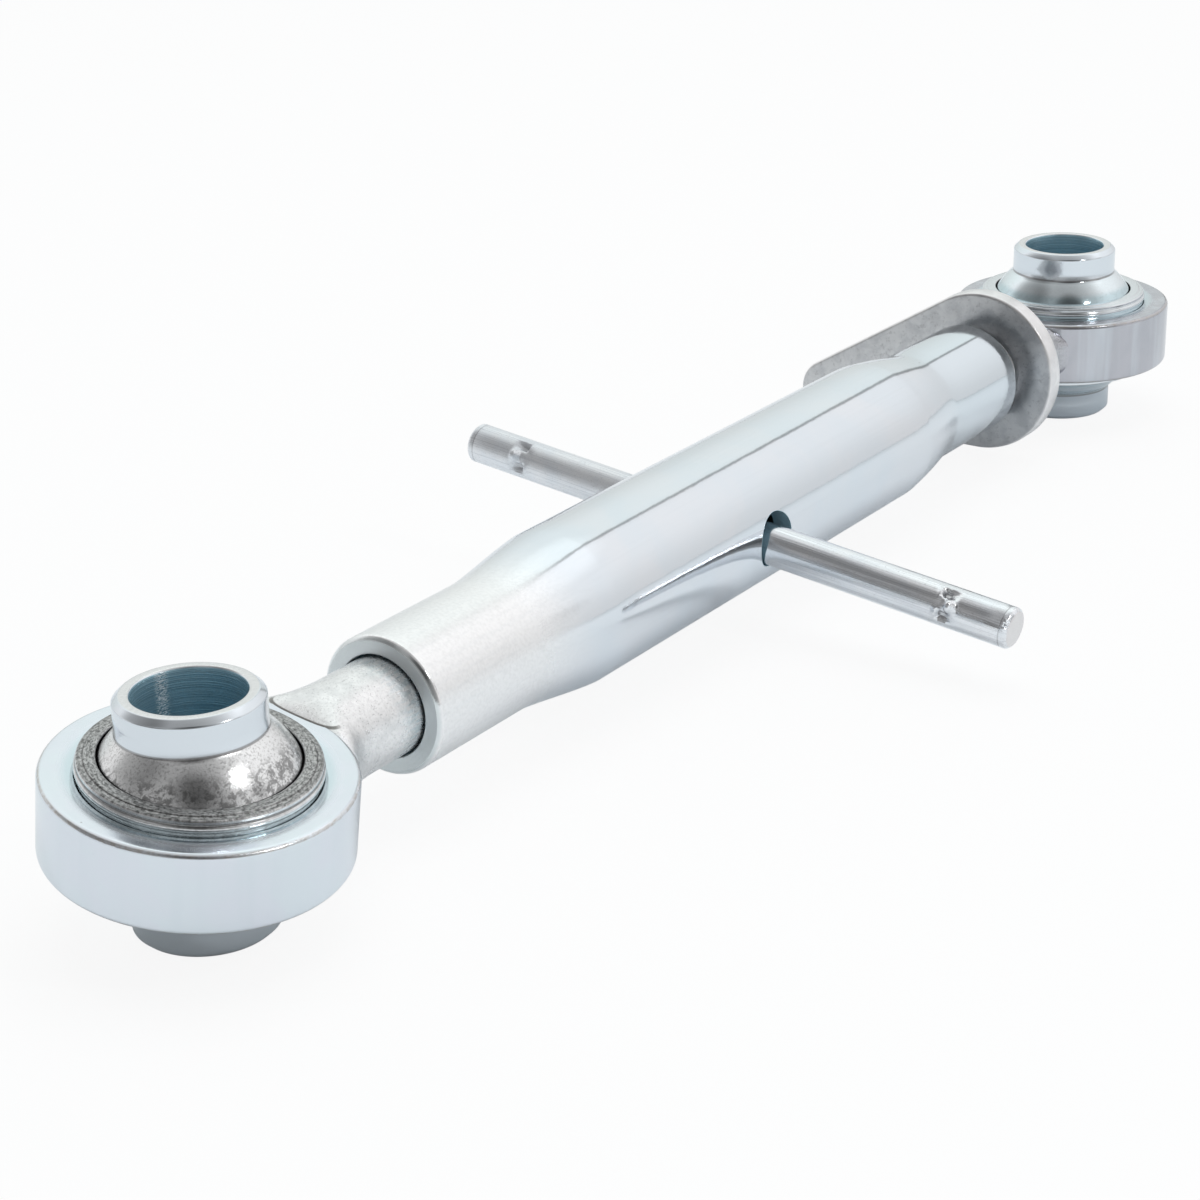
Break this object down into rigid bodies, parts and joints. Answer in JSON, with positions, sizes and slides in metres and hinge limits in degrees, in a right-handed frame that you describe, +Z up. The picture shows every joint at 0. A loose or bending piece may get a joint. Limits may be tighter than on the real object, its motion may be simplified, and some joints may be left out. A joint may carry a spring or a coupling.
{
  "type": "tractor top link",
  "caption": "Adjustable tractor top link: two ball eyes on threaded shanks of opposite hand, a turnbuckle tube with a sliding tommy bar and a lock lever.",
  "frame": {"origin": "on the flat ends of the two balls, on which the link stands, under the middle of its bounding box", "axes": "+X along the tube from the near eye to the far eye, +Y towards the lever's free end, +Z up along the pin bores"},
  "size_m": [0.379, 0.1326, 0.043],
  "materials": {
    "forged_zinc": "satin bright zinc on a forging",
    "bright_zinc": "glossy bluish zinc on drawn steel",
    "staked_steel": "coarse grey turned steel",
    "polished_ball": "polished, with dark mottled patches",
    "dull_zinc": "dull mottled zinc on rolled plate"
  },
  "bodies": {
    "near_eye": {"near_eye": "forged_zinc", "near_race": "staked_steel"},
    "near_ball": {"near_ball": "polished_ball"},
    "lock_lever": {"lock_lever": "dull_zinc"},
    "tube": {"tube": "bright_zinc"},
    "tommy_bar": {"tommy_bar": "bright_zinc"},
    "far_eye": {"far_eye": "forged_zinc", "far_race": "staked_steel"},
    "far_ball": {"far_ball": "polished_ball"}
  },
  "joints": [
    {"name": "lever_travel", "type": "slide", "parent": "near_eye", "child": "lock_lever", "axis": [1, 0, 0], "range_m": [0, 0.065]},
    {"name": "tube_turn", "type": "hinge", "parent": "lock_lever", "child": "tube", "pos_m": [-0.115, 0.00546, 0.0215], "axis": [1, 0, 0], "range_deg": [0, 9360]},
    {"name": "bar_slide", "type": "slide", "parent": "tube", "child": "tommy_bar", "axis": [0, 0.9928, 0.1194], "range_m": [-0.028, 0.039]},
    {"name": "length", "type": "slide", "parent": "near_eye", "child": "far_eye", "axis": [1, 0, 0], "range_m": [0, 0.13]},
    {"name": "near_ball_swivel", "type": "hinge", "parent": "near_eye", "child": "near_ball", "pos_m": [-0.163, 0.00546, 0.0215], "axis": [1, 0, 0], "range_deg": [-8, 24]},
    {"name": "far_ball_swivel", "type": "hinge", "parent": "far_eye", "child": "far_ball", "pos_m": [0.163, 0.00546, 0.0215], "axis": [1, 0, 0], "range_deg": [-16, 16]}
  ],
  "couplings": [
    {"joint": "lever_travel", "follows": "tube_turn", "m_per_rad": 0.00039789},
    {"joint": "length", "follows": "tube_turn", "m_per_rad": 0.00079577}
  ]
}
